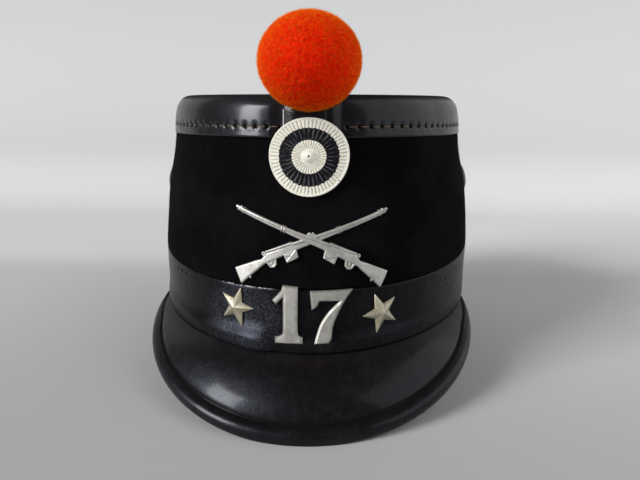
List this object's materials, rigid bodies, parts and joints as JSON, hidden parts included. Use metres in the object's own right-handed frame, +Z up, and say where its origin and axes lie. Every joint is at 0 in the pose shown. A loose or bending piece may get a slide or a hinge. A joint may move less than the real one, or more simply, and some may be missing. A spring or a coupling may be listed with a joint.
{
  "type": "shako hat",
  "caption": "Stiff black felt shako with a leather cap, head band and two peaks, a ball pompom, a round cockade and cast badges.",
  "frame": {"origin": "middle of the hat's bounding box, on the surface that the two peaks rest on", "axes": "+Z up, front peak and badges towards -Y, the wearer's left hand side of the hat towards +X"},
  "size_m": [0.1742, 0.2524, 0.1634],
  "materials": {
    "felt": "dense black felt",
    "leather": "lacquered, scuffed",
    "peak_leather": "lacquered, glossy",
    "steel": "dull",
    "wool": "short cut pile",
    "cream_paint": "satin cream and black paint, chipped",
    "white_metal": "cast, tarnished",
    "black_paint": "satin black"
  },
  "bodies": {
    "root": {"crown_body": "felt", "crown_cap": "leather", "head_band": "leather", "front_peak": "peak_leather", "neck_peak": "peak_leather", "pompom_socket": "leather", "pompom_stem": "steel", "pompom": "wool", "cockade": "cream_paint", "crossed_rifles": "white_metal", "numeral_one": "white_metal", "numeral_seven": "white_metal", "star_left": "white_metal", "star_right": "white_metal", "vent_left": "black_paint", "vent_right": "black_paint"}
  },
  "joints": []
}
